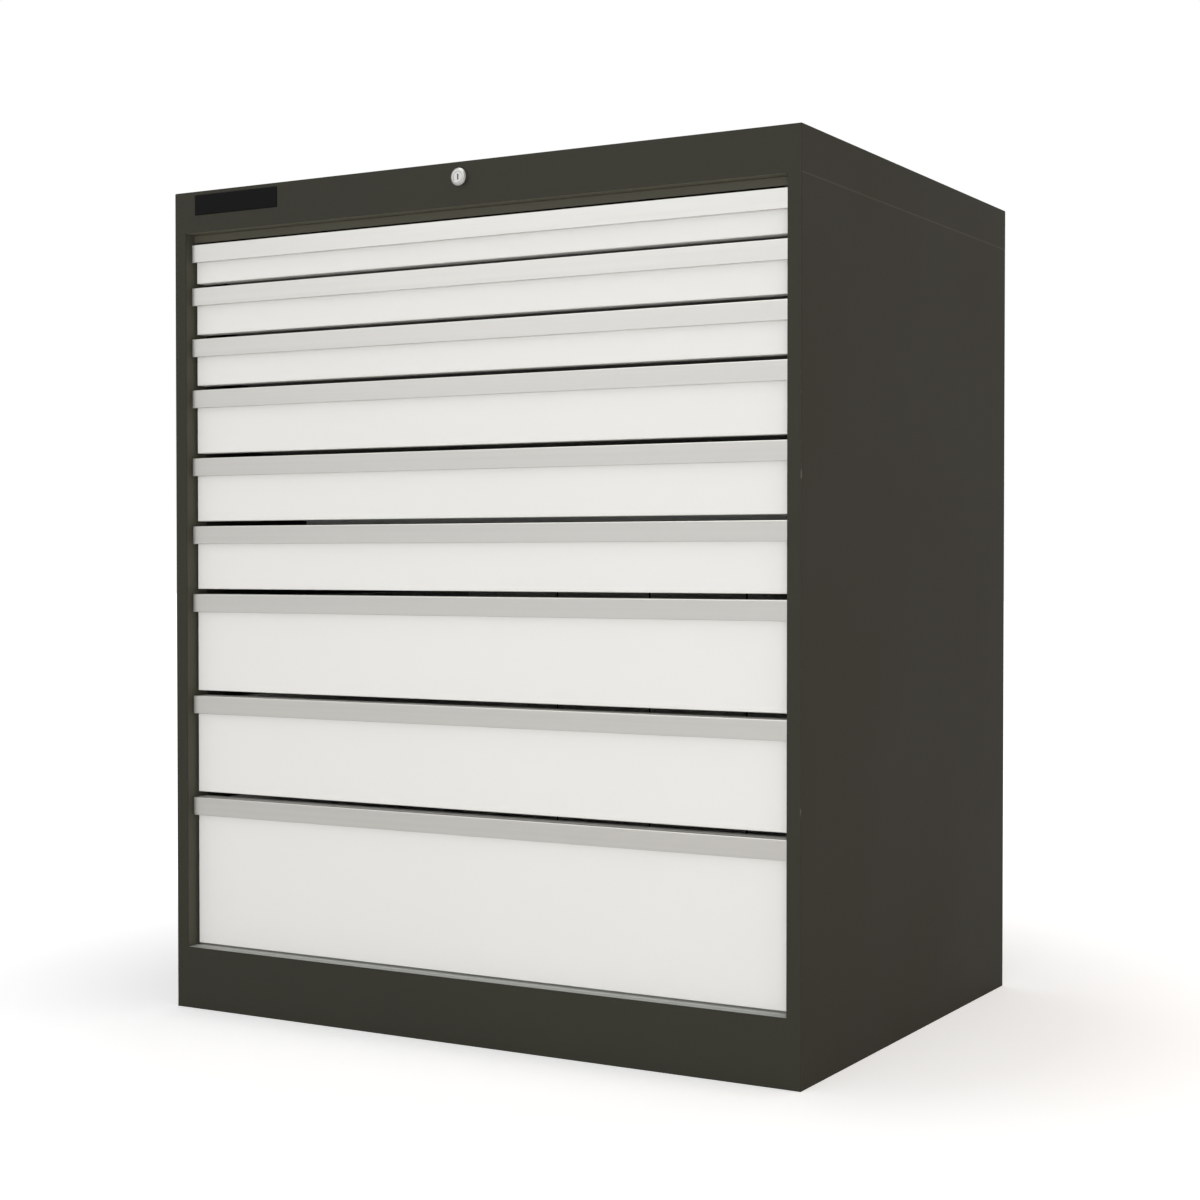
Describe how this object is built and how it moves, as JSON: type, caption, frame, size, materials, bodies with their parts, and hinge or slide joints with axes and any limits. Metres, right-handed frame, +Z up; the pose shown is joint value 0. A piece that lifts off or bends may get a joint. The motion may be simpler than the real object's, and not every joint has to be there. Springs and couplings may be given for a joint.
{
  "type": "heavy-duty drawer cabinet",
  "caption": "Heavy-duty steel drawer cabinet with graded full-extension drawers on roller carriages, full-width pulls and a central key lock that bolts every drawer.",
  "frame": {"origin": "on the floor, at the middle of the case's width and depth", "axes": "+X to the right seen from the front, +Y from the front to the back, +Z up"},
  "size_m": [1.01, 0.762, 1.2],
  "materials": {
    "case_paint": "fine-textured powder coat",
    "front_paint": "smooth powder coat",
    "pan_paint": "smooth powder coat",
    "pull_aluminium": "satin anodised",
    "zinc_steel": "zinc plated",
    "runner_steel": "zinc plated",
    "lock_metal": "satin nickel"
  },
  "bodies": {
    "cabinet": {"left_side_panel": "case_paint", "right_side_panel": "case_paint", "back_panel": "case_paint", "top_cap": "case_paint", "head_rail": "case_paint", "front_plinth": "case_paint", "floor_pan": "pan_paint", "base_bearers": "zinc_steel", "front_left_post": "case_paint", "front_right_post": "case_paint", "rear_left_post": "case_paint", "rear_right_post": "case_paint", "left_fixed_rails": "runner_steel", "right_fixed_rails": "runner_steel", "lock_barrel": "lock_metal", "lock_nut": "lock_metal", "transfer_rod_guides": "zinc_steel", "crank_bracket": "zinc_steel", "lock_bar_guides": "zinc_steel"},
    "lock_plug": {"lock_plug": "lock_metal", "lock_cam": "lock_metal"},
    "transfer_rod": {"transfer_rod": "zinc_steel"},
    "bell_crank": {"bell_crank": "zinc_steel"},
    "lock_bar": {"lock_bar": "zinc_steel"},
    "drawer_1": {"drawer_1_front": "front_paint", "drawer_1_handle": "pull_aluminium", "drawer_1_tray": "front_paint"},
    "drawer_1_carriages": {"drawer_1_carriages": "runner_steel"},
    "drawer_2": {"drawer_2_front": "front_paint", "drawer_2_handle": "pull_aluminium", "drawer_2_tray": "front_paint"},
    "drawer_2_carriages": {"drawer_2_carriages": "runner_steel"},
    "drawer_3": {"drawer_3_front": "front_paint", "drawer_3_handle": "pull_aluminium", "drawer_3_tray": "front_paint"},
    "drawer_3_carriages": {"drawer_3_carriages": "runner_steel"},
    "drawer_4": {"drawer_4_front": "front_paint", "drawer_4_handle": "pull_aluminium", "drawer_4_tray": "front_paint"},
    "drawer_4_carriages": {"drawer_4_carriages": "runner_steel"},
    "drawer_5": {"drawer_5_front": "front_paint", "drawer_5_handle": "pull_aluminium", "drawer_5_tray": "front_paint"},
    "drawer_5_carriages": {"drawer_5_carriages": "runner_steel"},
    "drawer_6": {"drawer_6_front": "front_paint", "drawer_6_handle": "pull_aluminium", "drawer_6_tray": "front_paint"},
    "drawer_6_carriages": {"drawer_6_carriages": "runner_steel"},
    "drawer_7": {"drawer_7_front": "front_paint", "drawer_7_handle": "pull_aluminium", "drawer_7_tray": "front_paint"},
    "drawer_7_carriages": {"drawer_7_carriages": "runner_steel"},
    "drawer_8": {"drawer_8_front": "front_paint", "drawer_8_handle": "pull_aluminium", "drawer_8_tray": "front_paint"},
    "drawer_8_carriages": {"drawer_8_carriages": "runner_steel"},
    "drawer_9": {"drawer_9_front": "front_paint", "drawer_9_handle": "pull_aluminium", "drawer_9_tray": "front_paint"},
    "drawer_9_carriages": {"drawer_9_carriages": "runner_steel"}
  },
  "joints": [
    {"name": "drawer_1_slide", "type": "slide", "parent": "cabinet", "child": "drawer_1", "axis": [0, -1, 0], "range_m": [0, 0.65]},
    {"name": "drawer_1_carriage_slide", "type": "slide", "parent": "cabinet", "child": "drawer_1_carriages", "axis": [0, -1, 0], "range_m": [0, 0.325]},
    {"name": "drawer_2_slide", "type": "slide", "parent": "cabinet", "child": "drawer_2", "axis": [0, -1, 0], "range_m": [0, 0.65]},
    {"name": "drawer_2_carriage_slide", "type": "slide", "parent": "cabinet", "child": "drawer_2_carriages", "axis": [0, -1, 0], "range_m": [0, 0.325]},
    {"name": "drawer_3_slide", "type": "slide", "parent": "cabinet", "child": "drawer_3", "axis": [0, -1, 0], "range_m": [0, 0.65]},
    {"name": "drawer_3_carriage_slide", "type": "slide", "parent": "cabinet", "child": "drawer_3_carriages", "axis": [0, -1, 0], "range_m": [0, 0.325]},
    {"name": "drawer_4_slide", "type": "slide", "parent": "cabinet", "child": "drawer_4", "axis": [0, -1, 0], "range_m": [0, 0.65]},
    {"name": "drawer_4_carriage_slide", "type": "slide", "parent": "cabinet", "child": "drawer_4_carriages", "axis": [0, -1, 0], "range_m": [0, 0.325]},
    {"name": "drawer_5_slide", "type": "slide", "parent": "cabinet", "child": "drawer_5", "axis": [0, -1, 0], "range_m": [0, 0.65]},
    {"name": "drawer_5_carriage_slide", "type": "slide", "parent": "cabinet", "child": "drawer_5_carriages", "axis": [0, -1, 0], "range_m": [0, 0.325]},
    {"name": "drawer_6_slide", "type": "slide", "parent": "cabinet", "child": "drawer_6", "axis": [0, -1, 0], "range_m": [0, 0.65]},
    {"name": "drawer_6_carriage_slide", "type": "slide", "parent": "cabinet", "child": "drawer_6_carriages", "axis": [0, -1, 0], "range_m": [0, 0.325]},
    {"name": "drawer_7_slide", "type": "slide", "parent": "cabinet", "child": "drawer_7", "axis": [0, -1, 0], "range_m": [0, 0.65]},
    {"name": "drawer_7_carriage_slide", "type": "slide", "parent": "cabinet", "child": "drawer_7_carriages", "axis": [0, -1, 0], "range_m": [0, 0.325]},
    {"name": "drawer_8_slide", "type": "slide", "parent": "cabinet", "child": "drawer_8", "axis": [0, -1, 0], "range_m": [0, 0.65]},
    {"name": "drawer_8_carriage_slide", "type": "slide", "parent": "cabinet", "child": "drawer_8_carriages", "axis": [0, -1, 0], "range_m": [0, 0.325]},
    {"name": "drawer_9_slide", "type": "slide", "parent": "cabinet", "child": "drawer_9", "axis": [0, -1, 0], "range_m": [0, 0.65]},
    {"name": "drawer_9_carriage_slide", "type": "slide", "parent": "cabinet", "child": "drawer_9_carriages", "axis": [0, -1, 0], "range_m": [0, 0.325]},
    {"name": "lock_turn", "type": "hinge", "parent": "cabinet", "child": "lock_plug", "pos_m": [0, -0.3845, 1.1784], "axis": [0, 1, 0], "range_deg": [0, 90]},
    {"name": "transfer_rod_slide", "type": "slide", "parent": "cabinet", "child": "transfer_rod", "axis": [-1, 0, 0], "range_m": [0, 0.02121]},
    {"name": "bell_crank_turn", "type": "hinge", "parent": "cabinet", "child": "bell_crank", "pos_m": [0.46846, -0.336, 1.1784], "axis": [0, 1, 0], "range_deg": [0, 90]},
    {"name": "lock_bar_slide", "type": "slide", "parent": "cabinet", "child": "lock_bar", "axis": [0, 0, -1], "range_m": [0, 0.01414]}
  ],
  "couplings": [
    {"joint": "drawer_1_carriage_slide", "follows": "drawer_1_slide", "ratio": 0.5},
    {"joint": "drawer_2_carriage_slide", "follows": "drawer_2_slide", "ratio": 0.5},
    {"joint": "drawer_3_carriage_slide", "follows": "drawer_3_slide", "ratio": 0.5},
    {"joint": "drawer_4_carriage_slide", "follows": "drawer_4_slide", "ratio": 0.5},
    {"joint": "drawer_5_carriage_slide", "follows": "drawer_5_slide", "ratio": 0.5},
    {"joint": "drawer_6_carriage_slide", "follows": "drawer_6_slide", "ratio": 0.5},
    {"joint": "drawer_7_carriage_slide", "follows": "drawer_7_slide", "ratio": 0.5},
    {"joint": "drawer_8_carriage_slide", "follows": "drawer_8_slide", "ratio": 0.5},
    {"joint": "drawer_9_carriage_slide", "follows": "drawer_9_slide", "ratio": 0.5},
    {"joint": "lock_turn", "follows": "transfer_rod_slide", "rad_per_m": 74.048},
    {"joint": "bell_crank_turn", "follows": "transfer_rod_slide", "rad_per_m": 74.048},
    {"joint": "lock_bar_slide", "follows": "transfer_rod_slide", "ratio": 0.66667}
  ]
}
